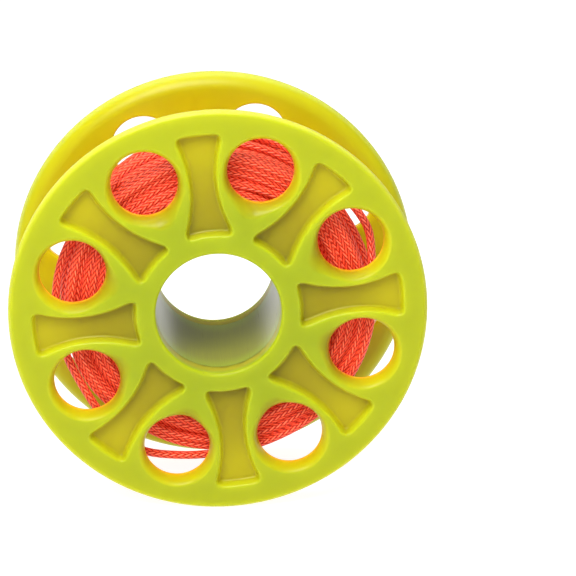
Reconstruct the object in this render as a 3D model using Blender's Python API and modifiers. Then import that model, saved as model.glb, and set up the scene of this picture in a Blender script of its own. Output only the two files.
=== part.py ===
"""Diver's finger spool with its wound line.

Two identical moulded flanges sit on a plain barrel. The spool's axis is Y: the front
flange faces -Y and the rear flange faces +Y. A finger goes through the bore. Braided
line is wound on the barrel between the flanges, and its last turn hangs slack.
The origin is the centre of the bore, half way between the two outer faces.
"""

from math import acos, asin, atan2, cos, hypot, pi, radians, sin

import bmesh
import bpy
from mathutils import Matrix, Vector

# Driving dimensions, in metres.
FLANGE_RADIUS = 0.0500
FLANGE_THICKNESS = 0.0050
SPOOL_WIDTH = 0.0400
BORE_RADIUS = 0.0150
BARREL_RADIUS = 0.0180
RIM_FILLET = 0.0012
RIM_INNER_FILLET = 0.0038
BORE_FILLET = 0.0008
GAP = 0.0003  # between pieces that touch

# The pattern of one flange: round windows with a ramped mouth, and bow-tie pockets between.
PATTERN_COUNT = 8
PATTERN_ROLL = radians(6.4)  # how far the first bow-tie stands above the +X axis
WINDOW_CENTRE = 0.0360
WINDOW_RADIUS = 0.0079
WINDOW_LIP = 0.0006  # the throat stands this far above the inner face, and flares to it
MOUTH_RADIUS = 0.0096
MOUTH_TIP = 0.0116  # from the window's centre to the mouth's blunt tip, towards the bore
POCKET_DEPTH = 0.0026
POCKET_INNER = 0.0197
POCKET_OUTER = 0.0442
POCKET_WAIST = 0.0032  # half the width at the waist
POCKET_SIDE_RADIUS = 0.0290
POCKET_CORNER = 0.0010

# The line.
LINE_DIAMETER = 0.0020
WINDING_RADIUS = 0.0362
WINDING_HALF_WIDTH = 0.0142
WINDING_SHOULDER = 0.0030

# The slack last turn: angle about the bore (0 is +X, 90 is up), radius and Y of its centre.
SLACK_TURN = (
    (66, 0.0376, 0.0085),
    (55, 0.0378, 0.0065),
    (45, 0.0381, 0.0045),
    (37, 0.0386, 0.0015),
    (30, 0.0398, -0.0030),
    (24, 0.0401, -0.0072),
    (16, 0.0386, -0.0108),
    (5, 0.0375, -0.0124),
    (-12, 0.0372, -0.0128),
    (-30, 0.0371, -0.0128),
    (-50, 0.0371, -0.0128),
    (-70, 0.0372, -0.0128),
    (-88, 0.0381, -0.0127),
    (-104, 0.0400, -0.0126),
    (-118, 0.0418, -0.0126),
    (-132, 0.0401, -0.0126),
    (-146, 0.0387, -0.0126),
    (-163, 0.0386, -0.0124),
    (-180, 0.0389, -0.0120),
    (-198, 0.0388, -0.0108),
    (-216, 0.0380, -0.0090),
    (-232, 0.0376, -0.0070),
)
SLACK_STEPS = 4  # tube points between two points of the route

FLANGE_STEPS = 72
WINDING_STEPS = 48
WINDOW_STEPS = 24
FILLET_STEPS = 3

LIME = (0.470, 0.560, 0.028, 1.0)
ORANGE = (0.800, 0.070, 0.022, 1.0)


def clear_scene():
    for item in list(bpy.data.objects):
        bpy.data.objects.remove(item, do_unlink=True)


def new_collection(name):
    collection = bpy.data.collections.new(name)
    bpy.context.scene.collection.children.link(collection)
    return collection


def new_material(name, colour, roughness, metallic):
    material = bpy.data.materials.new(name)
    material.use_nodes = True
    shader = material.node_tree.nodes["Principled BSDF"]
    shader.inputs["Base Color"].default_value = colour
    shader.inputs["Roughness"].default_value = roughness
    shader.inputs["Metallic"].default_value = metallic
    material.diffuse_color = colour
    return material


def new_object(name, data, collection, material=None):
    item = bpy.data.objects.new(name, data)
    collection.objects.link(item)
    if material:
        data.materials.append(material)
    return item


def arc(centre, radius, start, end, steps):
    """Points on an arc from one angle to another, both ends included."""
    angles = [start + (end - start) * i / steps for i in range(steps + 1)]
    return [(centre[0] + radius * cos(a), centre[1] + radius * sin(a)) for a in angles]


def turned(name, profile, steps, collection, material):
    """A closed profile of (radius, height) points, turned about the object's own Z axis."""
    mesh = bpy.data.meshes.new(name)
    count = len(profile)
    points = [(radius, 0.0, height) for radius, height in profile]
    mesh.from_pydata(points, [(i, (i + 1) % count) for i in range(count)], [])
    item = new_object(name, mesh, collection, material)
    screw = item.modifiers.new("Turn", "SCREW")
    screw.axis = "Z"
    screw.angle = 2 * pi
    screw.steps = steps
    screw.render_steps = steps
    screw.use_merge_vertices = True
    screw.merge_threshold = 0.00001
    return item


def ring_profile(inner, outer, low, high, inner_fillets, outer_fillets):
    """The closed section of a ring, down its outer side first; fillets are (top, bottom)."""
    corners = (
        (outer, high, -1, -1, outer_fillets[0], pi / 2, 0),
        (outer, low, -1, 1, outer_fillets[1], 0, -pi / 2),
        (inner, low, 1, 1, inner_fillets[1], -pi / 2, -pi),
        (inner, high, 1, -1, inner_fillets[0], pi, pi / 2),
    )
    points = []
    for x, z, x_side, z_side, fillet, start, end in corners:
        if fillet:
            centre = (x + x_side * fillet, z + z_side * fillet)
            points += arc(centre, fillet, start, end, FILLET_STEPS)
        else:
            points.append((x, z))
    return points


def cutter(name, mesh, collection, parent, angle):
    """Place one cutter on a flange, with its own +X axis at the given angle."""
    item = new_object(name, mesh, collection)
    item.parent = parent
    item.rotation_euler.z = angle
    item.hide_render = True
    item.display_type = "WIRE"
    return item


def mouth_reach(angle):
    """Distance from a window's centre to its mouth's edge; the bore lies at angle pi."""
    turn = abs(angle - pi)
    corner = 0.0014
    corner_turn = atan2(corner, MOUTH_TIP)
    tangent_turn = corner_turn + acos(MOUTH_RADIUS / hypot(MOUTH_TIP, corner))
    if turn > tangent_turn:
        return MOUTH_RADIUS
    side = MOUTH_RADIUS / cos(tangent_turn - turn)
    tip = MOUTH_TIP / cos(turn)
    return min(side, tip)


def window_mesh():
    """A round throat that flares to the inner face, and bells out to the drop-shaped mouth."""
    def flare(_angle):
        return WINDOW_RADIUS + WINDOW_LIP

    def bell(turn):
        """The opening part of the way up a quarter-round bell, and its height."""
        share = 1 - cos(turn)
        height = WINDOW_LIP + (FLANGE_THICKNESS - WINDOW_LIP) * sin(turn)

        def reach(angle):
            return WINDOW_RADIUS + (mouth_reach(angle) - WINDOW_RADIUS) * share

        return height, reach

    beyond = 0.001
    sections = (
        (-beyond, flare),
        (0.0, flare),
        bell(0.0),
        bell(radians(36)),
        bell(radians(66)),
        bell(radians(90)),
        (FLANGE_THICKNESS + beyond, mouth_reach),
    )
    mesh = bpy.data.meshes.new("window_cutter")
    shape = bmesh.new()
    rings = []
    for height, reach in sections:
        ring = []
        for step in range(WINDOW_STEPS):
            angle = 2 * pi * step / WINDOW_STEPS
            x = WINDOW_CENTRE + reach(angle) * cos(angle)
            y = reach(angle) * sin(angle)
            ring.append(shape.verts.new((x, y, height)))
        rings.append(ring)
    for below, above in zip(rings, rings[1:]):
        for i in range(WINDOW_STEPS):
            j = (i + 1) % WINDOW_STEPS
            shape.faces.new((below[i], below[j], above[j], above[i]))
    shape.faces.new(list(reversed(rings[0])))
    shape.faces.new(rings[-1])
    shape.to_mesh(mesh)
    shape.free()
    return mesh


def pocket_mesh():
    """A bow-tie: two waisted sides, an inner end and an outer end, with rounded corners."""
    middle = (POCKET_INNER + POCKET_OUTER) / 2
    side_centre = POCKET_WAIST + POCKET_SIDE_RADIUS
    reach = asin(0.94 * (POCKET_OUTER - POCKET_INNER) / 2 / POCKET_SIDE_RADIUS)
    left = arc((middle, side_centre), POCKET_SIDE_RADIUS, -pi / 2 + reach, -pi / 2 - reach, 8)
    right = [(x, -y) for x, y in reversed(left)]
    half_angle = atan2(left[0][1], left[0][0])
    outer_end = arc((0, 0), POCKET_OUTER, -half_angle, half_angle, 2)
    half_angle = atan2(left[-1][1], left[-1][0])
    inner_end = arc((0, 0), POCKET_INNER, half_angle, -half_angle, 2)
    outline = outer_end + left[1:-1] + inner_end + right[1:-1]

    mesh = bpy.data.meshes.new("pocket_cutter")
    shape = bmesh.new()
    floor = FLANGE_THICKNESS - POCKET_DEPTH
    corners = [shape.verts.new((x, y, floor)) for x, y in outline]
    shape.faces.new(corners)
    ends = (corners[0], corners[2], corners[2 + len(left) - 1], corners[4 + len(left) - 1])
    bmesh.ops.bevel(
        shape, geom=list(ends), offset=POCKET_CORNER, segments=3, affect="VERTICES", profile=0.5
    )
    grown = bmesh.ops.extrude_face_region(shape, geom=list(shape.faces))
    lifted = [item for item in grown["geom"] if isinstance(item, bmesh.types.BMVert)]
    bmesh.ops.translate(shape, vec=(0, 0, POCKET_DEPTH + 0.001), verts=lifted)
    bmesh.ops.recalc_face_normals(shape, faces=shape.faces)
    shape.to_mesh(mesh)
    shape.free()
    return mesh


def flange(name, turn, roll, meshes, collection, material):
    """One moulded flange, built with its outer face up +Z, then set on the spool's axis."""
    section = ring_profile(
        BORE_RADIUS, FLANGE_RADIUS, 0.0, FLANGE_THICKNESS,
        (BORE_FILLET, 0.0), (RIM_FILLET, RIM_INNER_FILLET),
    )
    item = turned(name, section, FLANGE_STEPS, collection, material)
    cutters = new_collection(name + "_cutters")
    window, pocket = meshes
    pitch = 2 * pi / PATTERN_COUNT
    for index in range(PATTERN_COUNT):
        cutter(f"{name}_pocket_{index}", pocket, cutters, item, index * pitch)
        cutter(f"{name}_window_{index}", window, cutters, item, (index + 0.5) * pitch)
    cut = item.modifiers.new("Windows and pockets", "BOOLEAN")
    cut.operation = "DIFFERENCE"
    cut.solver = "EXACT"
    cut.operand_type = "COLLECTION"
    cut.collection = cutters
    inner_face = SPOOL_WIDTH / 2 - FLANGE_THICKNESS
    upright = Matrix.Rotation(radians(90), 4, "X")
    outwards = Matrix.Translation((0, 0, inner_face))
    rolled = Matrix.Rotation(roll, 4, "Z")
    item.matrix_world = Matrix.Rotation(turn, 4, "Z") @ upright @ outwards @ rolled
    return item


def barrel(collection, material):
    """The tube that the line is wound on, end to end between the two flanges."""
    half = SPOOL_WIDTH / 2 - FLANGE_THICKNESS - GAP
    section = ring_profile(BORE_RADIUS, BARREL_RADIUS, -half, half, (0.0, 0.0), (0.0, 0.0))
    item = turned("barrel", section, FLANGE_STEPS, collection, material)
    item.rotation_euler.x = radians(90)
    return item


def winding(collection, material):
    """The body of the wound line: a ring on the barrel with rounded shoulders."""
    section = ring_profile(
        BARREL_RADIUS + GAP, WINDING_RADIUS, -WINDING_HALF_WIDTH, WINDING_HALF_WIDTH,
        (0.0, 0.0), (WINDING_SHOULDER, WINDING_SHOULDER),
    )
    item = turned("line_winding", section, WINDING_STEPS, collection, material)
    item.rotation_euler.x = radians(90)
    return item


def slack_point(angle, radius, y):
    return Vector((radius * cos(radians(angle)), y, radius * sin(radians(angle))))


def smooth_route(points, steps):
    """A Catmull-Rom curve through the points, with the given steps from one to the next."""
    route = [2 * points[0] - points[1]] + list(points) + [2 * points[-1] - points[-2]]
    smooth = []
    for a, b, c, d in zip(route, route[1:], route[2:], route[3:]):
        for step in range(steps):
            t = step / steps
            smooth.append(
                0.5 * (2 * b + (c - a) * t + (2 * a - 5 * b + 4 * c - d) * t ** 2
                       + (3 * b - a - 3 * c + d) * t ** 3)
            )
    return smooth + [points[-1]]


def slack_turn(collection, material):
    """The last turn of the line, which has come loose and hangs off the winding."""
    route = smooth_route([slack_point(*point) for point in SLACK_TURN], SLACK_STEPS)
    curve = bpy.data.curves.new("line_slack_turn", "CURVE")
    curve.dimensions = "3D"
    curve.bevel_depth = LINE_DIAMETER / 2
    curve.bevel_resolution = 2
    curve.use_fill_caps = True
    spline = curve.splines.new("POLY")
    spline.points.add(len(route) - 1)
    for point, place in zip(spline.points, route):
        point.co = (*place, 1.0)
    return new_object("line_slack_turn", curve, collection, material)


def shade_smooth(collection):
    for item in collection.objects:
        if item.type == "MESH":
            item.data.shade_smooth()
            item.data.set_sharp_from_angle(angle=radians(35))


def main():
    clear_scene()
    parts = new_collection("finger_spool")
    plastic = new_material("lime_plastic", LIME, 0.30, 0.0)
    cord = new_material("orange_line", ORANGE, 0.60, 0.0)
    meshes = (window_mesh(), pocket_mesh())
    flange("front_flange", 0.0, PATTERN_ROLL, meshes, parts, plastic)
    flange("rear_flange", pi, -PATTERN_ROLL, meshes, parts, plastic)
    barrel(parts, plastic)
    winding(parts, cord)
    slack_turn(parts, cord)
    shade_smooth(parts)


main()
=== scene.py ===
"""A diver's finger spool with its wound line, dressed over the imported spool.

The spool's axis is Y and its front faces -Y. Two moulded flanges with windows and
pockets stand on a barrel, and a long braided line is wound on it, turn by turn.
"""

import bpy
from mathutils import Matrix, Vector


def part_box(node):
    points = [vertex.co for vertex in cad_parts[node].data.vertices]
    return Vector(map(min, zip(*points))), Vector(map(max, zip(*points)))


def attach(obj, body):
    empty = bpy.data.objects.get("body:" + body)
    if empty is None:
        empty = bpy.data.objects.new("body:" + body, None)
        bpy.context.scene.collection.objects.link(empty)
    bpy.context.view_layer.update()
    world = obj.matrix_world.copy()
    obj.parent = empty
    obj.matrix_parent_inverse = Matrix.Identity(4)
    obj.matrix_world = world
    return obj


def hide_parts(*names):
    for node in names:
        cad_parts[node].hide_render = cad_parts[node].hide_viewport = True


bl_info = {
    "name": "Finger Spool",
    "version": (1, 0, 0),
    "blender": (4, 5, 0),
    "location": "3D View > Sidebar > Finger Spool",
    "description": "Builds the flanges, barrel and wound line of a diver's finger spool",
    "category": "Object",
}

from math import acos, atan2, cos, hypot, pi, radians, sin

import bmesh
import bpy
import numpy as np
from bpy.props import (
    FloatProperty,
    FloatVectorProperty,
    IntProperty,
    PointerProperty,
)
from mathutils import Matrix, Vector

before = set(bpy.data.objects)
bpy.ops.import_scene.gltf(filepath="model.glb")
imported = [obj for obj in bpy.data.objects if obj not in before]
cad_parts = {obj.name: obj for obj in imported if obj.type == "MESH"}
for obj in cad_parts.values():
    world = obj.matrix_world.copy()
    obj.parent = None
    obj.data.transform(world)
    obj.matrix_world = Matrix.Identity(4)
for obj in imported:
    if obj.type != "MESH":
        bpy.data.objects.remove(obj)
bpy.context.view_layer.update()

FRONT_LOW, FRONT_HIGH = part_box("front_flange")
REAR_LOW, REAR_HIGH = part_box("rear_flange")
BARREL_LOW, BARREL_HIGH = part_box("barrel")
INNER_FACE = REAR_LOW.y

# Points nearer than this are one point.
WELD = 0.000002

# Shading stays flat across a face and sharp over an edge of more than this angle.
SHARP_ANGLE = radians(50)

# The slack last turn: angle about the bore (0 is +X, 90 is up), radius and Y of its centre.
SLACK_TURN = (
    (66, 0.0376, 0.0085),
    (55, 0.0378, 0.0065),
    (45, 0.0381, 0.0045),
    (37, 0.0386, 0.0015),
    (30, 0.0398, -0.0030),
    (24, 0.0401, -0.0072),
    (16, 0.0386, -0.0108),
    (5, 0.0375, -0.0124),
    (-12, 0.0372, -0.0128),
    (-30, 0.0371, -0.0128),
    (-50, 0.0371, -0.0128),
    (-70, 0.0372, -0.0128),
    (-88, 0.0381, -0.0127),
    (-104, 0.0400, -0.0126),
    (-118, 0.0418, -0.0126),
    (-132, 0.0401, -0.0126),
    (-146, 0.0387, -0.0126),
    (-163, 0.0386, -0.0124),
    (-180, 0.0389, -0.0120),
    (-198, 0.0388, -0.0108),
    (-216, 0.0380, -0.0090),
    (-232, 0.0376, -0.0070),
)


# ---------------------------------------------------------------------------
# Sizes and colours
# ---------------------------------------------------------------------------


def length_field(name, description, default):
    """A length in metres that the sidebar shows with its unit."""
    return FloatProperty(
        name=name,
        description=description,
        default=default,
        min=0.0,
        soft_max=0.1,
        precision=5,
        unit="LENGTH",
    )


def colour_field(name, description, default):
    """A colour with a swatch in the sidebar."""
    return FloatVectorProperty(
        name=name,
        description=description,
        default=default,
        size=3,
        min=0.0,
        max=1.0,
        subtype="COLOR",
    )


class FlangeSizes(bpy.types.PropertyGroup):
    """The sizes of one moulded flange."""

    radius: length_field("Radius", "Outside radius of the rim", FRONT_HIGH.x)
    thickness: length_field(
        "Thickness", "From the inner face to the outer face", FRONT_HIGH.y - FRONT_LOW.y
    )
    bore: length_field("Bore radius", "Radius of the finger bore", 0.0150)
    rim_front: length_field("Rim, outside", "Rounding of the rim's outer edge", 0.0012)
    rim_back: length_field("Rim, inside", "Rounding of the rim's inner edge", 0.0038)
    bore_round: length_field("Bore rounding", "Rounding at the mouth of the bore", 0.0008)
    edge_round: length_field("Edge rounding", "Rounding of the edges of the pockets", 0.0007)
    window_reach: length_field("Window place", "From the bore's centre to a window's", 0.0360)
    window: length_field("Window radius", "Radius of a window at its narrowest", 0.0079)
    window_lip: length_field("Window lip", "Height and flare of a window's inner lip", 0.0006)
    mouth: length_field("Mouth radius", "Radius of a window at the outer face", 0.0096)
    mouth_tip: length_field("Mouth tip", "From a window's centre to its mouth's tip", 0.0116)
    tip_half: length_field("Tip half width", "Half the width of that tip", 0.0014)
    tip_cut: length_field("Tip corner", "Length that the bend at the tip's corner takes", 0.0009)
    pocket_depth: length_field("Pocket depth", "Depth of the waisted pockets", 0.0026)
    pocket_inner: length_field("Pocket start", "Distance of a pocket from the axis", 0.0197)
    pocket_outer: length_field("Pocket end", "Radius at the pocket's far end", 0.0442)
    pocket_waist: length_field("Pocket waist", "Half the width of a pocket's waist", 0.0032)
    pocket_bow: length_field("Pocket bow", "Radius of a pocket's waisted sides", 0.0290)
    pocket_draft: length_field("Pocket draft", "How far a pocket's wall leans in", 0.00025)
    pocket_fillet: length_field("Pocket fillet", "Rounding along a pocket's floor", 0.0008)
    repeats: IntProperty(
        name="Windows",
        description="How many windows and pockets go round the flange",
        default=8,
        min=3,
        max=24,
    )
    roll: FloatProperty(
        name="Roll",
        description="How far the first pocket stands above the +X axis",
        default=radians(6.4),
        unit="ROTATION",
    )


class LineSizes(bpy.types.PropertyGroup):
    """The sizes of the braided line and of its winding."""

    diameter: length_field("Diameter", "Diameter of the braided line", 0.0020)
    nesting: FloatProperty(
        name="Nesting",
        description="Distance between touching turns, in diameters",
        default=0.95,
        min=0.5,
        max=1.2,
    )
    half_width: length_field("Half width", "How far the turns reach from the middle", 0.0136)
    dwell: FloatProperty(
        name="Dwell",
        description="Turns laid against a flange before one of the outer layers turns back",
        default=1.0,
        min=0.0,
        max=3.0,
    )
    hollow: length_field("Hollow", "How far the winding is pressed in under the slack turn", 0.0024)
    hollow_angle: FloatProperty(
        name="Hollow angle",
        description="Bearing of that hollow in degrees, from the right towards the top",
        default=33.0,
        min=-180.0,
        max=180.0,
    )
    layers: IntProperty(
        name="Layers",
        description="How many times the line goes from one flange to the other",
        default=9,
        min=1,
        max=20,
    )
    seed: IntProperty(
        name="Seed",
        description="Which of the many uneven windings is made",
        default=9,
        min=0,
    )
    braid_strands: IntProperty(
        name="Braid strands",
        description="Strands that cross round the line in each direction",
        default=8,
        min=4,
        max=32,
    )
    braid_pitch: length_field("Braid pitch", "Length of line from crossing to crossing", 0.00180)


class SpoolColours(bpy.types.PropertyGroup):
    """The colours of the plastic and of the line, with painted light and shade in many of them."""

    plastic: colour_field("Plastic", "Lime plastic of the spool", (0.285, 0.338, 0.008))
    # rim is painted light: the face turns lighter out by the rim, where light comes through the
    # thin plastic.
    rim: colour_field("Rim", "Lime plastic out by the rim", (0.335, 0.370, 0.008))
    edge: colour_field("Edge", "The rim's edge, where light comes through", (0.450, 0.470, 0.080))
    # web, web_mid and web_edge are painted shade and light on the thin pocket floors: darker with
    # the barrel and the line behind them, lighter past the line.
    web: colour_field("Web", "Thin plastic with the barrel behind it", (0.275, 0.240, 0.005))
    web_mid: colour_field("Web, middle", "Thin plastic with line behind it", (0.305, 0.262, 0.005))
    web_edge: colour_field("Web, open", "Thin plastic past the line", (0.380, 0.350, 0.004))
    # wall and wall_edge are painted light: the warm light of the orange line on a window's wall,
    # lighter out by the rim.
    wall: colour_field("Window wall", "Wall of a window towards the axis", (0.310, 0.245, 0.004))
    wall_edge: colour_field("Window wall, rim", "The same, out by the rim", (0.480, 0.420, 0.005))
    # inner and inner_edge are painted light: warm light from the line on the faces between the
    # flanges.
    inner: colour_field("Inner face", "Plastic seen between the flanges", (0.415, 0.355, 0.003))
    inner_edge: colour_field("Inner rim", "The same out by the rim", (0.390, 0.375, 0.005))
    # bore is a painted reflection: grey where the bore reflects its surroundings, laid over the
    # lime plastic.
    bore: colour_field("Bore", "Grey painted reflection along the finger bore", (0.265, 0.270, 0.014))
    # glow is painted light: the line's orange light on the plastic at each window's throat.
    glow: colour_field("Glow", "Plastic that picks up the line's colour", (0.900, 0.460, 0.015))
    line: colour_field("Line", "Raised strands of the braid", (1.000, 0.062, 0.014))
    # line_deep is painted shade in the gaps between the strands, line_pale a painted highlight on
    # their crowns.
    line_deep: colour_field("Line, deep", "Gaps between the braid's strands", (0.420, 0.005, 0.001))
    line_pale: colour_field("Line, pale", "Crowns of the braid's strands", (1.000, 0.230, 0.125))


class SpoolSettings(bpy.types.PropertyGroup):
    """Everything that a user would change on the spool."""

    flange: PointerProperty(type=FlangeSizes)
    line: PointerProperty(type=LineSizes)
    colours: PointerProperty(type=SpoolColours)


# ---------------------------------------------------------------------------
# Node trees
# ---------------------------------------------------------------------------


class Wire:
    """An output in a node tree; arithmetic on it adds Math nodes to the same tree."""

    def __init__(self, bench, socket):
        self.bench = bench
        self.socket = socket

    def math(self, operation, *values):
        """This value, and the given ones after it, through one Math node."""
        return self.bench.node(
            "ShaderNodeMath", {"operation": operation}, dict(enumerate((self, *values)))
        )

    def reflected(self, operation, other):
        return self.bench.node("ShaderNodeMath", {"operation": operation}, {0: other, 1: self})

    def __add__(self, other):
        return self.math("ADD", other)

    def __radd__(self, other):
        return self.reflected("ADD", other)

    def __sub__(self, other):
        return self.math("SUBTRACT", other)

    def __rsub__(self, other):
        return self.reflected("SUBTRACT", other)

    def __mul__(self, other):
        return self.math("MULTIPLY", other)

    def __rmul__(self, other):
        return self.reflected("MULTIPLY", other)

    def __truediv__(self, other):
        return self.math("DIVIDE", other)

    def __rtruediv__(self, other):
        return self.reflected("DIVIDE", other)

    def __pow__(self, other):
        return self.math("POWER", other)

    def __rpow__(self, other):
        return self.reflected("POWER", other)


class Bench:
    """A node tree under construction. Every node but plain arithmetic comes from node()."""

    def __init__(self, tree):
        self.tree = tree
        self.tree.nodes.clear()

    def node(self, kind, settings=None, inputs=None, output=0):
        """Add a node, apply its settings, fill or link its sockets, and give one output."""
        made = self.tree.nodes.new(kind)
        for name, value in (settings or {}).items():
            setattr(made, name, value)
        for key, value in (inputs or {}).items():
            if isinstance(value, Wire):
                self.tree.links.new(value.socket, made.inputs[key])
            else:
                made.inputs[key].default_value = value
        if not made.outputs:
            return None
        return Wire(self, made.outputs[output])

    def blend(self, factor, first, second):
        """One colour into another."""
        return self.node(
            "ShaderNodeMix",
            {"data_type": "RGBA"},
            {0: factor, 6: first, 7: second},
            2,
        )

    def ease(self, value, start, end):
        """A smooth step from 0 to 1 as value goes from start to end."""
        return self.node(
            "ShaderNodeMapRange",
            {"interpolation_type": "SMOOTHSTEP"},
            {0: value, 1: start, 2: end},
        )

    def axes(self, vector):
        """The X, Y and Z of a vector."""
        return [self.node("ShaderNodeSeparateXYZ", {}, {0: vector}, k) for k in range(3)]

    def cloud(self, place, scale, detail=2.0, roughness=0.5):
        """Noise at a scale per metre."""
        return self.node(
            "ShaderNodeTexNoise",
            {"noise_dimensions": "3D"},
            {"Vector": place, "Scale": scale, "Detail": detail, "Roughness": roughness},
        )


def opaque(colour, tint=1.0):
    """A colour with full alpha, made darker or lighter by a tint."""
    return (*(channel * tint for channel in colour), 1.0)


def new_material(name):
    """A material with an empty node tree, and the bench to build it on."""
    material = bpy.data.materials.new(name)
    material.use_nodes = True
    return material, Bench(material.node_tree)


def finish_material(bench, inputs):
    """Close a material with a Principled shader."""
    shader = bench.node("ShaderNodeBsdfPrincipled", {}, inputs)
    bench.node("ShaderNodeOutputMaterial", {}, {"Surface": shader})


# ---------------------------------------------------------------------------
# Materials
# ---------------------------------------------------------------------------


def lime_plastic(colours):
    """Translucent lime with painted light and shade: olive painted shade where a thin web has line
    behind it, painted warm light round the windows.

    The web share runs from 0 on a face, over a pocket's wall, to 1 on the pocket's floor.
    The wall share runs from 0 on a face to 1 where a window is narrowest.
    """
    material, bench = new_material("moulded_lime")
    place = bench.node("ShaderNodeTexCoord", {}, {}, "Object")
    x, y, z = bench.axes(place)
    reach = (x * x + z * z) ** 0.5
    depth = y.math("ABSOLUTE")
    web = bench.node("ShaderNodeAttribute", {"attribute_name": "web"}, {}, "Fac")
    wall = bench.node("ShaderNodeAttribute", {"attribute_name": "wall"}, {}, "Fac")

    mottle = bench.cloud(place, 45.0, 3.0)
    tone = bench.ease(mottle, 0.3, 0.7) * 0.5
    hub = bench.blend(tone, opaque(colours.plastic), opaque(colours.plastic, 1.06))
    rim = bench.blend(tone, opaque(colours.rim), opaque(colours.rim, 1.05))
    # Painted light: the face grows lighter towards the rim.
    face = bench.blend(bench.ease(reach, 0.0260, 0.0470), hub, rim)
    # Painted shade on the pocket floors where the barrel and the line stand behind them, painted
    # light past the line.
    streaks = bench.cloud(place, 120.0, 4.0, 0.7)
    past_line = bench.ease(reach + 0.003 * (streaks - 0.5), 0.0260, 0.0420)
    shaded = bench.blend(
        bench.ease(reach, 0.0200, 0.0320), opaque(colours.web), opaque(colours.web_mid)
    )
    thin = bench.blend(past_line, shaded, opaque(colours.web_edge))
    # Painted warm light on the faces between the flanges, greener towards the rim.
    inside = bench.ease(depth, INNER_FACE + 0.0040, INNER_FACE + 0.0018)
    between = bench.ease(reach, 0.0498, 0.0489) * (1.0 - web)
    inner_warm_light = bench.blend(
        bench.ease(reach, 0.0440, 0.0490), opaque(colours.inner), opaque(colours.inner_edge)
    )
    with_inner = bench.blend(inside * between, face, inner_warm_light)
    with_web = bench.blend(web, with_inner, thin)
    # Painted warm light from the line on the windows' walls, lighter towards the rim, and a painted
    # orange glow at each throat.
    window_wall_warm_light = bench.blend(
        bench.ease(reach, 0.0310, 0.0425), opaque(colours.wall), opaque(colours.wall_edge)
    )
    with_wall = bench.blend(wall ** 0.9 * 0.9, with_web, window_wall_warm_light)
    at_throat = wall ** 50.0
    warmed = bench.blend(at_throat, with_wall, opaque(colours.glow))
    # Painted light along the rim's edge.
    edge = bench.ease(reach, 0.0490, 0.0499) * 0.7
    colour = bench.blend(edge, warmed, opaque(colours.edge))
    # Painted glow: the pockets' walls emit the floors' painted colour, lifting the shade that falls
    # on them.
    on_pocket_wall = web * (1.0 - web) * 3.6
    painted_wall_glow = bench.blend(on_pocket_wall, (0.0, 0.0, 0.0, 1.0), shaded)

    grain = bench.cloud(place, 2600.0, 2.0)
    sink = bench.cloud(place, 60.0, 1.0)
    relief = grain * 0.12 + sink
    bump = bench.node(
        "ShaderNodeBump", {}, {"Strength": 0.10, "Distance": 0.0006, "Height": relief}
    )
    finish_material(
        bench,
        {
            "Base Color": colour,
            "Emission Color": painted_wall_glow,
            "Emission Strength": 0.42,
            "Roughness": 0.27 + 0.10 * bench.cloud(place, 420.0, 3.0),
            "Normal": bump,
            "IOR": 1.46,
            "Specular IOR Level": 0.16,
            "Subsurface Weight": 1.0,
            "Subsurface Radius": (1.0, 0.85, 0.12),
            "Subsurface Scale": 0.0085,
        },
    )
    return material


def bore_lime_painted_reflection(colours):
    """The barrel: the same plastic, with a grey painted reflection along the finger bore, streaked
    by tool marks.
    """
    material, bench = new_material("lime_with_painted_reflection")
    place = bench.node("ShaderNodeTexCoord", {}, {}, "Object")
    x, y, z = bench.axes(place)
    around = z.math("ARCTAN2", x)
    draw_place = bench.node("ShaderNodeCombineXYZ", {}, {0: around * 26.0, 1: y * 18.0, 2: 0.0})
    draw = bench.cloud(draw_place, 2.2, 3.0)
    # Painted reflection: grey along the middle of the bore, streaked by tool marks, plain plastic
    # towards the ends.
    ends = bench.ease(y.math("ABSOLUTE"), 0.0085, 0.0146)
    tool_marks_and_reflection = bench.blend(
        bench.ease(draw, 0.35, 0.68), opaque(colours.bore, 0.88), opaque(colours.bore)
    )
    colour = bench.blend(ends, tool_marks_and_reflection, opaque(colours.plastic))
    bump = bench.node(
        "ShaderNodeBump", {}, {"Strength": 0.10, "Distance": 0.0003, "Height": draw}
    )
    finish_material(
        bench,
        {
            "Base Color": colour,
            "Roughness": 0.24 + 0.12 * draw,
            "Normal": bump,
            "IOR": 1.50,
        },
    )
    return material


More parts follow.
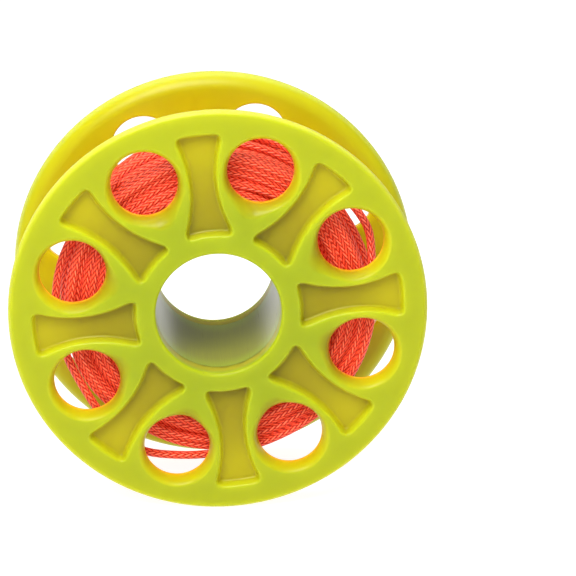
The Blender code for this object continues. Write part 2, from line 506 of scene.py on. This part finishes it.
def braided_line(colours, line):
    """Braid from two sets of strands that wind opposite ways, two over and two under, with painted
    shade in the gaps and painted highlights on the crowns.
    """
    material, bench = new_material("orange_braid")
    around = bench.node("ShaderNodeAttribute", {"attribute_name": "around"}, {}, "Vector")
    along = bench.node("ShaderNodeAttribute", {"attribute_name": "along"}, {}, "Fac")
    across, up, _ = bench.axes(around)
    turn = up.math("ARCTAN2", across) * (line.braid_strands / (2 * pi))
    travel = along / line.braid_pitch
    right = turn + travel
    left = turn - travel
    right_cell = right.math("FLOOR")
    left_cell = left.math("FLOOR")
    order = (right_cell + left_cell).math("FLOORED_MODULO", 4.0)
    right_over = order.math("LESS_THAN", 1.5)
    right_across = right - right_cell
    left_across = left - left_cell
    right_float = ((left + right_cell) / 4.0).math("FRACT") * 2.0
    left_float = ((right + left_cell - 2.0) / 4.0).math("FRACT") * 2.0
    width = right_over * right_across + (1.0 - right_over) * left_across
    run = right_over * right_float + (1.0 - right_over) * left_float
    crown = 1.0 - (width * 2.0 - 1.0) * (width * 2.0 - 1.0)
    arch_base = run * 2.0 - 1.0
    arch = 1.0 - arch_base * arch_base * arch_base * arch_base
    height = crown * (0.45 + 0.55 * arch)

    fibre_place = bench.node(
        "ShaderNodeCombineXYZ", {}, {0: across * 3.0, 1: up * 3.0, 2: along * 2600.0}
    )
    fibre = bench.cloud(fibre_place, 1.4, 2.0)
    dye = bench.cloud(
        bench.node("ShaderNodeCombineXYZ", {}, {0: along * 30.0, 1: 0.0, 2: 0.0}), 1.0, 2.0
    )
    raised = bench.blend(
        bench.ease(dye, 0.3, 0.7), opaque(colours.line, 0.92), opaque(colours.line)
    )
    # Painted shade in the gaps between strands and a painted highlight on their crowns, stronger on
    # the strands that run one way.
    body = bench.blend(bench.ease(height, 0.10, 0.80), opaque(colours.line_deep), raised)
    crown_highlight = bench.ease(height, 0.62, 1.0) * (0.25 + 0.45 * right_over)
    colour = bench.blend(crown_highlight, body, opaque(colours.line_pale))
    relief = height + fibre * 0.15
    bump = bench.node(
        "ShaderNodeBump", {}, {"Strength": 1.0, "Distance": 0.00030, "Height": relief}
    )
    finish_material(
        bench,
        {
            "Base Color": colour,
            "Roughness": 0.52 - 0.14 * height,
            "Normal": bump,
            "Subsurface Weight": 0.10,
            "Subsurface Radius": (1.0, 0.20, 0.08),
            "Subsurface Scale": 0.0004,
            # Painted glow: the line emits its own colour, for its fluorescence and to lift the
            # shade between the flanges.
            "Emission Color": colour,
            "Emission Strength": 0.20,
        },
    )
    return material


def stage_paper():
    """A pale grey sheet under the spool, lit from within so that it looks white."""
    material, bench = new_material("white_paper")
    place = bench.node("ShaderNodeTexCoord", {}, {}, "Object")
    tone = bench.cloud(place, 3.0, 2.0)
    finish_material(
        bench,
        {
            "Base Color": bench.blend(tone, (0.34, 0.34, 0.34, 1.0), (0.36, 0.36, 0.36, 1.0)),
            "Roughness": 0.9,
            "Emission Color": (1.0, 1.0, 1.0, 1.0),
            "Emission Strength": 0.90,
        },
    )
    return material


# ---------------------------------------------------------------------------
# Objects and geometry trees
# ---------------------------------------------------------------------------


def link_object(name, data):
    """A new object in the scene, at the origin."""
    made = bpy.data.objects.new(name, data)
    bpy.context.scene.collection.objects.link(made)
    return made


def geometry_tree(name, sockets):
    """A Geometry Nodes tree with a geometry in and out, and the given named inputs."""
    tree = bpy.data.node_groups.new(name, "GeometryNodeTree")
    tree.interface.new_socket("Geometry", in_out="INPUT", socket_type="NodeSocketGeometry")
    tree.interface.new_socket("Geometry", in_out="OUTPUT", socket_type="NodeSocketGeometry")
    keys = {}
    for label, kind in sockets:
        made = tree.interface.new_socket(label, in_out="INPUT", socket_type=kind)
        keys[label] = made.identifier
    return tree, keys


def grown_by_nodes(name, mesh, tree, keys, values):
    """Run a geometry tree on a mesh and give back the plain mesh that it makes."""
    carrier = link_object(name + "_seed", mesh)
    modifier = carrier.modifiers.new(name, "NODES")
    modifier.node_group = tree
    for label, value in values.items():
        modifier[keys[label]] = value
    depsgraph = bpy.context.evaluated_depsgraph_get()
    made = bpy.data.meshes.new_from_object(carrier.evaluated_get(depsgraph))
    made.name = name
    if made.materials[0] is None:
        made.materials.pop(index=0)
    carrier.modifiers.remove(modifier)
    bpy.data.objects.remove(carrier)
    return made


def smooth_by_area(name, mesh, angle):
    """Smooth shading that keeps broad faces flat, baked into the mesh's own normals."""
    mesh.shade_smooth()
    mesh.set_sharp_from_angle(angle=angle)
    carrier = link_object(name + "_seed", mesh)
    weighted = carrier.modifiers.new("Flat faces", "WEIGHTED_NORMAL")
    weighted.keep_sharp = True
    depsgraph = bpy.context.evaluated_depsgraph_get()
    made = bpy.data.meshes.new_from_object(carrier.evaluated_get(depsgraph))
    made.name = name
    carrier.modifiers.remove(weighted)
    bpy.data.objects.remove(carrier)
    return made


def closed_and_outward(mesh):
    """Weld a mesh's doubles and point its faces outwards."""
    shape = bmesh.new()
    shape.from_mesh(mesh)
    bmesh.ops.remove_doubles(shape, verts=shape.verts, dist=WELD)
    bmesh.ops.recalc_face_normals(shape, faces=shape.faces)
    shape.to_mesh(mesh)
    shape.free()


# ---------------------------------------------------------------------------
# Flange
# ---------------------------------------------------------------------------


def resample(points, count, start=0.0, end=0.0):
    """The same polyline with evenly spaced points, cut short at either end by a length."""
    line = np.array(points, float)
    steps = np.linalg.norm(np.diff(line, axis=0), axis=1)
    along = np.concatenate(([0.0], np.cumsum(steps)))
    at = np.linspace(start, along[-1] - end, count)
    return np.stack([np.interp(at, along, line[:, k]) for k in range(line.shape[1])], axis=1)


def bend_between(before, after):
    """A smooth bend from the end of one edge to the start of the next."""
    start, end = before[-1], after[0]
    out = before[-1] - before[-2]
    back = after[0] - after[1]
    reach = np.linalg.solve(np.array([out, -back]).T, end - start)[0]
    corner = start + reach * out
    share = np.linspace(0.0, 1.0, 14)[1:-1, None]
    rest = 1 - share
    return rest ** 2 * start + 2 * share * rest * corner + share ** 2 * end


def outward(points):
    """Unit normals to the left of a polyline whose ends lie on its mirror line."""
    line = np.array(points, float)
    slope = np.gradient(line, axis=0)
    slope /= np.linalg.norm(slope, axis=1)[:, None]
    return np.stack([-slope[:, 1], slope[:, 0]], axis=1)


# How far a pocket's two ends and its waisted side turn, before their corners are cut off.
POCKET_NEAR_TURN = radians(19.1)
POCKET_FAR_TURN = radians(7.47)
POCKET_SIDE_TURNS = (radians(-27.3), radians(24.1))

# The lengths cut off for the bends: along the near end, the side by it, and the far end.
POCKET_NEAR_CUT = 0.0028
POCKET_SIDE_CUT = 0.0037
POCKET_FAR_CUT = 0.0021


def pocket_edge(sizes):
    """Half of a pocket's outline, from its near end to its far end, and its normals."""
    middle = (sizes.pocket_inner + sizes.pocket_outer) / 2
    bow = sizes.pocket_bow
    near = arc_points(sizes.pocket_inner, 0.0, POCKET_NEAR_TURN, 39)
    side = [
        (middle + bow * sin(t), sizes.pocket_waist + bow - bow * cos(t))
        for t in np.linspace(*POCKET_SIDE_TURNS, 160)
    ]
    far = arc_points(sizes.pocket_outer, POCKET_FAR_TURN, 0.0, 39)
    near = resample(near, 60, end=POCKET_NEAR_CUT)
    side = resample(side, 60, POCKET_SIDE_CUT, POCKET_FAR_CUT)
    far = resample(far, 60, start=POCKET_FAR_CUT)
    edge = np.concatenate(
        [near, bend_between(near, side), side, bend_between(side, far), far]
    )
    edge = resample(edge, 56)
    normals = outward(edge)
    normals[0] = (-1.0, 0.0)
    normals[-1] = (1.0, 0.0)
    return edge, normals


def mouth_edge(sizes):
    """Half of a window mouth's outline about its own centre, far point first, tip last."""
    tip_turn = atan2(sizes.tip_half, sizes.mouth_tip)
    swing = tip_turn + acos(sizes.mouth / hypot(sizes.mouth_tip, sizes.tip_half))
    corner = (-sizes.mouth_tip, sizes.tip_half)
    round_part = arc_points(sizes.mouth, 0.0, pi - swing, 119)
    ramp_side = resample([round_part[-1], corner], 60, end=sizes.tip_cut)
    tip = resample([corner, (-sizes.mouth_tip, 0.0)], 60, start=sizes.tip_cut)
    edge = np.concatenate([round_part, ramp_side[1:], bend_between(ramp_side, tip), tip])
    return resample(edge, 48)


class Skin:
    """Rows of points sewn into faces, with two shares painted on each point."""

    def __init__(self):
        self.shape = bmesh.new()
        self.web = self.shape.verts.layers.float.new("web")
        self.wall = self.shape.verts.layers.float.new("wall")

    def row(self, points, height, web=0.0, wall=0.0):
        """Add points at one height, with their shares."""
        made = []
        for x, y in points:
            vert = self.shape.verts.new((x, y, height))
            vert[self.web] = web
            vert[self.wall] = wall
            made.append(vert)
        return made

    def sew(self, rows):
        """Join each row to the next with faces."""
        for first, second in zip(rows, rows[1:]):
            for i in range(len(first) - 1):
                self.shape.faces.new((first[i], first[i + 1], second[i + 1], second[i]))

    def cap(self, verts):
        """Fill a closed outline."""
        face = self.shape.faces.new(verts)
        face.normal_update()
        bmesh.ops.triangulate(self.shape, faces=[face], ngon_method="BEAUTY")


def quarter(steps):
    """The angles of a quarter turn, for a rounding."""
    return [pi / 2 * i / steps for i in range(steps + 1)]


def arc_points(radius, start, end, steps):
    """Points of an arc about the origin."""
    turns = [start + (end - start) * i / steps for i in range(steps + 1)]
    return [(radius * cos(turn), radius * sin(turn)) for turn in turns]


def flange_sector(sizes):
    """One repeat of the flange, outer face up, from a half that is mirrored on its pocket."""
    half = pi / sizes.repeats
    top = sizes.thickness
    steps = 8
    skin = Skin()
    spin = Matrix.Rotation(half, 2)

    edge, normals = pocket_edge(sizes)
    rows = []
    soft = sizes.edge_round
    for turn in quarter(4):
        out = soft * (1 - sin(turn))
        share = 0.40 * (turn / (pi / 2)) ** 2
        rows.append(
            skin.row(edge + normals * out, top - soft * (1 - cos(turn)), web=share)
        )
    pocket_rim = rows[0]
    floor = top - sizes.pocket_depth
    fillet = sizes.pocket_fillet
    wall_rows = rows[-1:]
    for turn in quarter(4):
        out = -sizes.pocket_draft - fillet * (1 - cos(turn))
        share = 0.50 + 0.50 * (turn / (pi / 2)) ** 2
        wall_rows.append(
            skin.row(edge + normals * out, floor + fillet * (1 - sin(turn)), web=share)
        )
    skin.sew(rows)
    skin.sew(wall_rows)
    skin.cap(wall_rows[-1])

    edge = mouth_edge(sizes)
    turned = np.array(spin)
    centre = turned @ np.array([sizes.window_reach, 0.0])

    def placed(points):
        return np.array(points) @ np.array([[1.0, 0.0], [0.0, -1.0]]) @ turned.T + centre

    bearing = np.arctan2(edge[:, 1], edge[:, 0])
    throat = np.stack([np.cos(bearing), np.sin(bearing)], axis=1)
    lip = sizes.window_lip
    rows = []
    for turn in reversed(quarter(10)):
        share = 1 - cos(turn)
        opened = edge * share + throat * sizes.window * (1 - share)
        rows.append(
            skin.row(placed(opened), lip + (top - lip) * sin(turn), wall=1 - share)
        )
    mouth_rim = rows[0]
    for turn in quarter(4)[1:]:
        reach = sizes.window + lip * (1 - cos(turn))
        rows.append(skin.row(placed(throat * reach), lip * (1 - sin(turn)), wall=0.8))
    skin.sew(rows)
    throat_rim = rows[-1]

    rim_rows = []
    fillet = sizes.rim_front
    for turn in quarter(5):
        radius = sizes.radius - fillet * (1 - sin(turn))
        height = top - fillet * (1 - cos(turn))
        rim_rows.append(skin.row(arc_points(radius, 0.0, half, steps), height))
    fillet = sizes.rim_back
    for turn in quarter(9):
        radius = sizes.radius - fillet * (1 - cos(turn))
        height = fillet * (1 - sin(turn))
        rim_rows.append(skin.row(arc_points(radius, 0.0, half, steps), height))
    skin.sew(rim_rows)

    bore_rows = []
    fillet = sizes.bore_round
    for turn in quarter(4):
        radius = sizes.bore + fillet * (1 - sin(turn))
        height = top - fillet * (1 - cos(turn))
        bore_rows.append(skin.row(arc_points(radius, half, 0.0, steps), height))
    bore_rows.append(skin.row(arc_points(sizes.bore, half, 0.0, steps), 0.0))
    skin.sew(bore_rows)

    skin.cap(bore_rows[0] + pocket_rim + rim_rows[0] + mouth_rim)
    skin.cap(bore_rows[-1] + rim_rows[-1] + throat_rim)

    shape = skin.shape
    bmesh.ops.recalc_face_normals(shape, faces=shape.faces)
    whole = shape.verts[:] + shape.edges[:] + shape.faces[:]
    copy = bmesh.ops.duplicate(shape, geom=whole)
    mirrored = [item for item in copy["geom"] if isinstance(item, bmesh.types.BMVert)]
    for vert in mirrored:
        vert.co.y = -vert.co.y
    bmesh.ops.remove_doubles(shape, verts=shape.verts, dist=WELD)
    mesh = bpy.data.meshes.new("flange_sector")
    shape.to_mesh(mesh)
    shape.free()
    return mesh


def repeated_round_axis():
    """Copies of one sector round the axis, welded into a whole flange."""
    tree, keys = geometry_tree(
        "repeat_round_axis",
        (("Copies", "NodeSocketInt"), ("Finish", "NodeSocketMaterial")),
    )
    bench = Bench(tree)
    source = bench.node("NodeGroupInput")
    fields = {s.name: Wire(bench, s) for s in source.socket.node.outputs if s.name}
    number = bench.node("GeometryNodeInputIndex")
    turn = number * (2 * pi) / fields["Copies"]
    rotation = bench.node("FunctionNodeAxisAngleToRotation", {}, {"Axis": (0, 0, 1), "Angle": turn})
    dots = bench.node("GeometryNodePoints", {}, {"Count": fields["Copies"]})
    sector = bench.node("GeometryNodeGeometryToInstance", {}, {0: fields["Geometry"]})
    ring = bench.node(
        "GeometryNodeInstanceOnPoints",
        {},
        {"Points": dots, "Instance": sector, "Rotation": rotation},
    )
    real = bench.node("GeometryNodeRealizeInstances", {}, {0: ring})
    welded = bench.node(
        "GeometryNodeMergeByDistance", {}, {"Geometry": real, "Distance": WELD}
    )
    dressed = bench.node(
        "GeometryNodeSetMaterial", {}, {"Geometry": welded, "Material": fields["Finish"]}
    )
    bench.node("NodeGroupOutput", {}, {0: dressed})
    return tree, keys


class SPOOL_OT_flanges(bpy.types.Operator):
    """Mould the front and rear flanges, with their windows and pockets"""

    bl_idname = "finger_spool.flanges"
    bl_label = "Mould flanges"

    def execute(self, context):
        sizes = context.scene.finger_spool.flange
        colours = context.scene.finger_spool.colours
        plastic = lime_plastic(colours)
        tree, keys = repeated_round_axis()
        inner_face = Matrix.Translation((0, 0, -FRONT_HIGH.y))
        upright = Matrix.Rotation(radians(90), 4, "X")
        for name, turn, roll in (
            ("front_flange", 0.0, sizes.roll),
            ("rear_flange", pi, -sizes.roll),
        ):
            values = {"Copies": sizes.repeats, "Finish": plastic}
            mesh = grown_by_nodes(
                name + "_moulding", flange_sector(sizes), tree, keys, values
            )
            closed_and_outward(mesh)
            rolled = Matrix.Rotation(roll, 4, "Z")
            mesh.transform(Matrix.Rotation(turn, 4, "Z") @ upright @ inner_face @ rolled)
            mesh = smooth_by_area(name + "_moulding", mesh, SHARP_ANGLE)
            piece = link_object(name + "_moulding", mesh)
            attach(piece, "root")
            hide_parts(name)
        return {"FINISHED"}


# ---------------------------------------------------------------------------
# Barrel
# ---------------------------------------------------------------------------


# The barrel stands this far clear of each flange, with this rounding on its outer edges.
BARREL_CLEARANCE = 0.00002
BARREL_EDGE = 0.0004
BARREL_SIDES = 128


class SPOOL_OT_barrel(bpy.types.Operator):
    """Turn the barrel that joins the flanges round the finger bore"""

    bl_idname = "finger_spool.barrel"
    bl_label = "Turn barrel"

    def execute(self, context):
        sizes = context.scene.finger_spool.flange
        colours = context.scene.finger_spool.colours
        outside = BARREL_HIGH.x
        half = -FRONT_HIGH.y - BARREL_CLEARANCE
        edge = BARREL_EDGE
        profile = [(sizes.bore, -half), (outside - edge, -half)]
        profile += [
            (outside - edge * (1 - sin(turn)), -half + edge * (1 - cos(turn)))
            for turn in quarter(3)[1:]
        ]
        profile += [
            (outside - edge * (1 - cos(turn)), half - edge * (1 - sin(turn)))
            for turn in quarter(3)
        ]
        profile.append((sizes.bore, half))
        profile += [(sizes.bore, half * share) for share in (0.5, 0.0, -0.5)]
        shape = bmesh.new()
        rings = []
        for step in range(BARREL_SIDES):
            turn = 2 * pi * step / BARREL_SIDES
            rings.append(
                [shape.verts.new((r * cos(turn), y, r * sin(turn))) for r, y in profile]
            )
        for first, second in zip(rings, rings[1:] + rings[:1]):
            for i in range(len(profile)):
                j = (i + 1) % len(profile)
                shape.faces.new((first[i], first[j], second[j], second[i]))
        bmesh.ops.recalc_face_normals(shape, faces=shape.faces)
        mesh = bpy.data.meshes.new("barrel_tube")
        shape.to_mesh(mesh)
        shape.free()
        mesh = smooth_by_area("barrel_tube", mesh, SHARP_ANGLE)
        mesh.materials.append(bore_lime_painted_reflection(colours))
        piece = link_object("barrel_tube", mesh)
        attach(piece, "root")
        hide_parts("barrel")
        return {"FINISHED"}


# ---------------------------------------------------------------------------
# Line
# ---------------------------------------------------------------------------


# In the winding: how far each outer layer stops short of the last, how unevenly the layers
# end, the spacing of turns in diameters, and the wander as (turns, size) of each wave.
OUTER_STEP_IN = 0.0002
END_SCATTER = 0.0007
PITCH_INSIDE = (1.0, 1.14)
PITCH_OUTSIDE = (1.10, 1.35)
WANDER = ((5.3, 0.00030), (2.1, 0.00022), (0.9, 0.00010))

# The share of a turn in which the winding rises into the slack turn, and the half width of
# the hollow beneath it.
LEAD_OUT = 0.30
HOLLOW_SPREAD = radians(30)

# Turns beyond these places can be seen, so they keep every point; hidden ones keep a third.
SEEN_RADIUS = 0.0330
SEEN_FLANK_RADIUS = 0.0240
SEEN_FLANK_Y = 0.0090


def slack_route(steps):
    """The loose last turn, as a smooth curve through its points."""
    points = [
        Vector((radius * cos(radians(angle)), y, radius * sin(radians(angle))))
        for angle, radius, y in SLACK_TURN
    ]
    route = [2 * points[0] - points[1]] + points + [2 * points[-1] - points[-2]]
    smooth = []
    for a, b, c, d in zip(route, route[1:], route[2:], route[3:]):
        for step in range(steps):
            t = step / steps
            smooth.append(
                0.5 * (2 * b + (c - a) * t + (2 * a - 5 * b + 4 * c - d) * t ** 2
                       + (3 * b - a - 3 * c + d) * t ** 3)
            )
    return np.array([tuple(point) for point in smooth + [points[-1]]])


def smoothed(values, spread):
    """A run of numbers averaged over a bell of the given width, its ends held."""
    reach = int(spread * 3) + 1
    bell = np.exp(-0.5 * (np.arange(-reach, reach + 1) / spread) ** 2)
    bell /= bell.sum()
    padded = np.concatenate([np.full(reach, values[0]), values, np.full(reach, values[-1])])
    return np.convolve(padded, bell, "valid")


def traverse(line, rng, per_turn, end_y):
    """Y of the line at each step, as a hand guides it from flange to flange and back."""
    places = []
    side = -1 if line.layers % 2 else 1
    first_outer = line.layers - 4
    for layer in range(line.layers):
        reach = line.half_width - OUTER_STEP_IN * max(0, layer - first_outer)
        start = side * (reach - rng.uniform(0.0, END_SCATTER))
        stop = -side * (reach - rng.uniform(0.0, END_SCATTER))
        if layer == line.layers - 1:
            stop = end_y
        pitch = line.diameter * rng.uniform(*PITCH_INSIDE)
        if layer >= line.layers - 2:
            pitch = line.diameter * rng.uniform(*PITCH_OUTSIDE)
        turns = abs(stop - start) / pitch
        count = max(2, int(turns * per_turn))
        if layer >= first_outer:
            places.append(np.full(int(line.dwell * per_turn), start))
        places.append(np.linspace(start, stop, count, endpoint=False))
        side = -side
    y = np.concatenate(places)
    steps = np.arange(len(y)) / per_turn
    wander = np.zeros(len(y))
    for period, size in WANDER:
        wander += size * np.sin(2 * pi * (steps / period + rng.uniform()))
    y = smoothed(y, per_turn * 0.10) + wander
    return np.clip(y, -line.half_width, line.half_width)


def wound_route(line, per_turn=72):
    """Every turn on the barrel, each laid on the turns beneath it."""
    rng = np.random.default_rng(line.seed)
    last_angle, last_radius, last_y = SLACK_TURN[0]
    y = traverse(line, rng, per_turn, last_y)
    count = len(y)
    touch = line.diameter * line.nesting
    lowest = BARREL_HIGH.x + line.diameter / 2
    radius = np.full(count, lowest)
    for i in range(per_turn, count):
        below = slice(i % per_turn, i - per_turn // 2, per_turn)
        gap = y[below] - y[i]
        near = np.abs(gap) < touch
        if near.any():
            lift = radius[below][near] + np.sqrt(touch ** 2 - gap[near] ** 2)
            radius[i] = max(lowest, lift.max())
    radius = np.maximum(smoothed(radius, 2.0), lowest)
    step = np.arange(count)
    lead = LEAD_OUT * per_turn
    blend = np.clip((step - (count - lead)) / lead, 0, 1)
    blend = blend * blend * (3 - 2 * blend)
    radius = radius * (1 - blend) + last_radius * blend
    y = y * (1 - blend) + last_y * blend
    turn = radians(last_angle) + 2 * pi * (count - step) / per_turn
    off = (turn - radians(line.hollow_angle) + pi) % (2 * pi) - pi
    hollow = line.hollow * np.exp(-((off / HOLLOW_SPREAD) ** 2)) * (1 - blend)
    radius = radius - hollow * (radius - lowest) / (radius.max() - lowest)
    route = np.stack([radius * np.cos(turn), y, radius * np.sin(turn)], axis=1)
    on_flank = (radius > SEEN_FLANK_RADIUS) & (np.abs(y) > SEEN_FLANK_Y)
    keep = (radius > SEEN_RADIUS) | on_flank | (step % 3 == 0)
    return route[keep]


def tube_on_path():
    """A round tube along a path, with its place round and along the line kept on it."""
    tree, keys = geometry_tree(
        "tube_on_path",
        (
            ("Radius", "NodeSocketFloat"),
            ("Sides", "NodeSocketInt"),
            ("Finish", "NodeSocketMaterial"),
        ),
    )
    bench = Bench(tree)
    source = bench.node("NodeGroupInput")
    fields = {s.name: Wire(bench, s) for s in source.socket.node.outputs if s.name}
    path = bench.node("GeometryNodeMeshToCurve", {}, {0: fields["Geometry"]})
    distance = bench.node("GeometryNodeSplineParameter", {}, {}, "Length")
    measured = bench.node(
        "GeometryNodeStoreNamedAttribute",
        {"data_type": "FLOAT", "domain": "POINT"},
        {"Geometry": path, "Name": "along", "Value": distance},
    )
    circle = bench.node(
        "GeometryNodeCurvePrimitiveCircle",
        {},
        {"Resolution": fields["Sides"], "Radius": fields["Radius"]},
    )
    place = bench.node("GeometryNodeInputPosition")
    unit = bench.node(
        "ShaderNodeVectorMath", {"operation": "DIVIDE"}, {0: place, 1: fields["Radius"]}
    )
    rounded = bench.node(
        "GeometryNodeStoreNamedAttribute",
        {"data_type": "FLOAT_VECTOR", "domain": "POINT"},
        {"Geometry": circle, "Name": "around", "Value": unit},
    )
    tube = bench.node(
        "GeometryNodeCurveToMesh",
        {},
        {"Curve": measured, "Profile Curve": rounded, "Fill Caps": True},
    )
    real = bench.node("GeometryNodeRealizeInstances", {}, {0: tube})
    dressed = bench.node(
        "GeometryNodeSetMaterial", {}, {"Geometry": real, "Material": fields["Finish"]}
    )
    bench.node("NodeGroupOutput", {}, {0: dressed})
    return tree, keys


class SPOOL_OT_line(bpy.types.Operator):
    """Wind the braided line on the barrel and leave its last turn slack"""

    bl_idname = "finger_spool.line"
    bl_label = "Wind line"

    def execute(self, context):
        line = context.scene.finger_spool.line
        colours = context.scene.finger_spool.colours
        route = np.concatenate([wound_route(line), slack_route(5)])
        path = bpy.data.meshes.new("line_path")
        path.from_pydata(route.tolist(), [(i, i + 1) for i in range(len(route) - 1)], [])
        tree, keys = tube_on_path()
        values = {
            "Radius": line.diameter / 2,
            "Sides": 12,
            "Finish": braided_line(colours, line),
        }
        mesh = grown_by_nodes("wound_line", path, tree, keys, values)
        closed_and_outward(mesh)
        mesh.shade_smooth()
        piece = link_object("wound_line", mesh)
        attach(piece, "root")
        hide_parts("line_winding", "line_slack_turn")
        return {"FINISHED"}


# ---------------------------------------------------------------------------
# Stage
# ---------------------------------------------------------------------------


# The camera: its bearing from the front, its height as an angle, its distance, and its pan.
CAMERA_TURN = radians(-1.69)
CAMERA_RISE = radians(18.6)
CAMERA_DISTANCE = 0.634
CAMERA_PAN = radians(-1.59)
CAMERA_LENS = 161.6

FLOOR_GAP = 0.00005
FLOOR_REACH = 4.0
WORLD_STRENGTH = 0.34


def soft_light(name, place, target, size, power):
    """A square area light of a size in metres and a power in watts."""
    lamp = bpy.data.lights.new(name, "AREA")
    lamp.shape = "SQUARE"
    lamp.size = size
    lamp.energy = power
    holder = link_object(name, lamp)
    aim = Vector(target) - Vector(place)
    holder.location = place
    holder.rotation_euler = aim.to_track_quat("-Z", "Y").to_euler()


class SPOOL_OT_stage(bpy.types.Operator):
    """Set the camera, the pale floor and the soft studio light"""

    bl_idname = "finger_spool.stage"
    bl_label = "Set stage"

    def execute(self, context):
        scene = context.scene
        level = cos(CAMERA_RISE)
        place = CAMERA_DISTANCE * Vector(
            (sin(CAMERA_TURN) * level, -cos(CAMERA_TURN) * level, sin(CAMERA_RISE))
        )
        lens = bpy.data.cameras.new("camera")
        lens.lens = CAMERA_LENS
        lens.sensor_width = 36.0
        lens.clip_start = 0.01
        camera = link_object("camera", lens)
        camera.location = place
        look = (-place).to_track_quat("-Z", "Y").to_matrix().to_4x4()
        pan = Matrix.Rotation(CAMERA_PAN, 4, "Y")
        camera.rotation_euler = (look @ pan).to_euler()
        scene.camera = camera

        floor_mesh = bpy.data.meshes.new("floor")
        level = FRONT_LOW.z - FLOOR_GAP
        signs = ((-1, -1), (1, -1), (1, 1), (-1, 1))
        corners = [(FLOOR_REACH * x, FLOOR_REACH * y, level) for x, y in signs]
        floor_mesh.from_pydata(corners, [], [(0, 1, 2, 3)])
        floor_mesh.materials.append(stage_paper())
        link_object("floor", floor_mesh)

        world = bpy.data.worlds.new("studio")
        world.use_nodes = True
        bench = Bench(world.node_tree)
        sky = bench.node(
            "ShaderNodeBackground",
            {},
            {"Color": (1.0, 1.0, 1.0, 1.0), "Strength": WORLD_STRENGTH},
        )
        bench.node("ShaderNodeOutputWorld", {}, {"Surface": sky})
        scene.world = world

        soft_light("key_light", (-0.10, -0.30, 0.36), (0, 0, 0.01), 0.26, 3.3)
        soft_light("top_light", (-0.05, 0.02, 0.42), (0, 0, 0), 0.40, 1.3)
        scene.view_settings.view_transform = "Standard"
        return {"FINISHED"}


# ---------------------------------------------------------------------------
# Panel and registration
# ---------------------------------------------------------------------------


class SPOOL_PT_build(bpy.types.Panel):
    """Lists the steps that build the finger spool"""

    bl_idname = "SPOOL_PT_build"
    bl_label = "Finger Spool"
    bl_space_type = "VIEW_3D"
    bl_region_type = "UI"
    bl_category = "Finger Spool"

    def draw(self, context):
        layout = self.layout
        settings = context.scene.finger_spool
        for step in BUILD_STEPS:
            layout.operator(step.bl_idname)
        for group in (settings.flange, settings.line, settings.colours):
            box = layout.box()
            for key in group.bl_rna.properties.keys():
                if key not in ("rna_type", "name"):
                    box.prop(group, key)


BUILD_STEPS = (SPOOL_OT_stage, SPOOL_OT_line, SPOOL_OT_flanges, SPOOL_OT_barrel)
CLASSES = (
    FlangeSizes,
    LineSizes,
    SpoolColours,
    SpoolSettings,
    *BUILD_STEPS,
    SPOOL_PT_build,
)


def register():
    for item in CLASSES:
        bpy.utils.register_class(item)
    bpy.types.Scene.finger_spool = PointerProperty(type=SpoolSettings)


def unregister():
    del bpy.types.Scene.finger_spool
    for item in reversed(CLASSES):
        bpy.utils.unregister_class(item)


def main():
    register()
    bpy.ops.finger_spool.stage()
    bpy.ops.finger_spool.line()
    bpy.ops.finger_spool.flanges()
    bpy.ops.finger_spool.barrel()


if __name__ == "__main__":
    main()
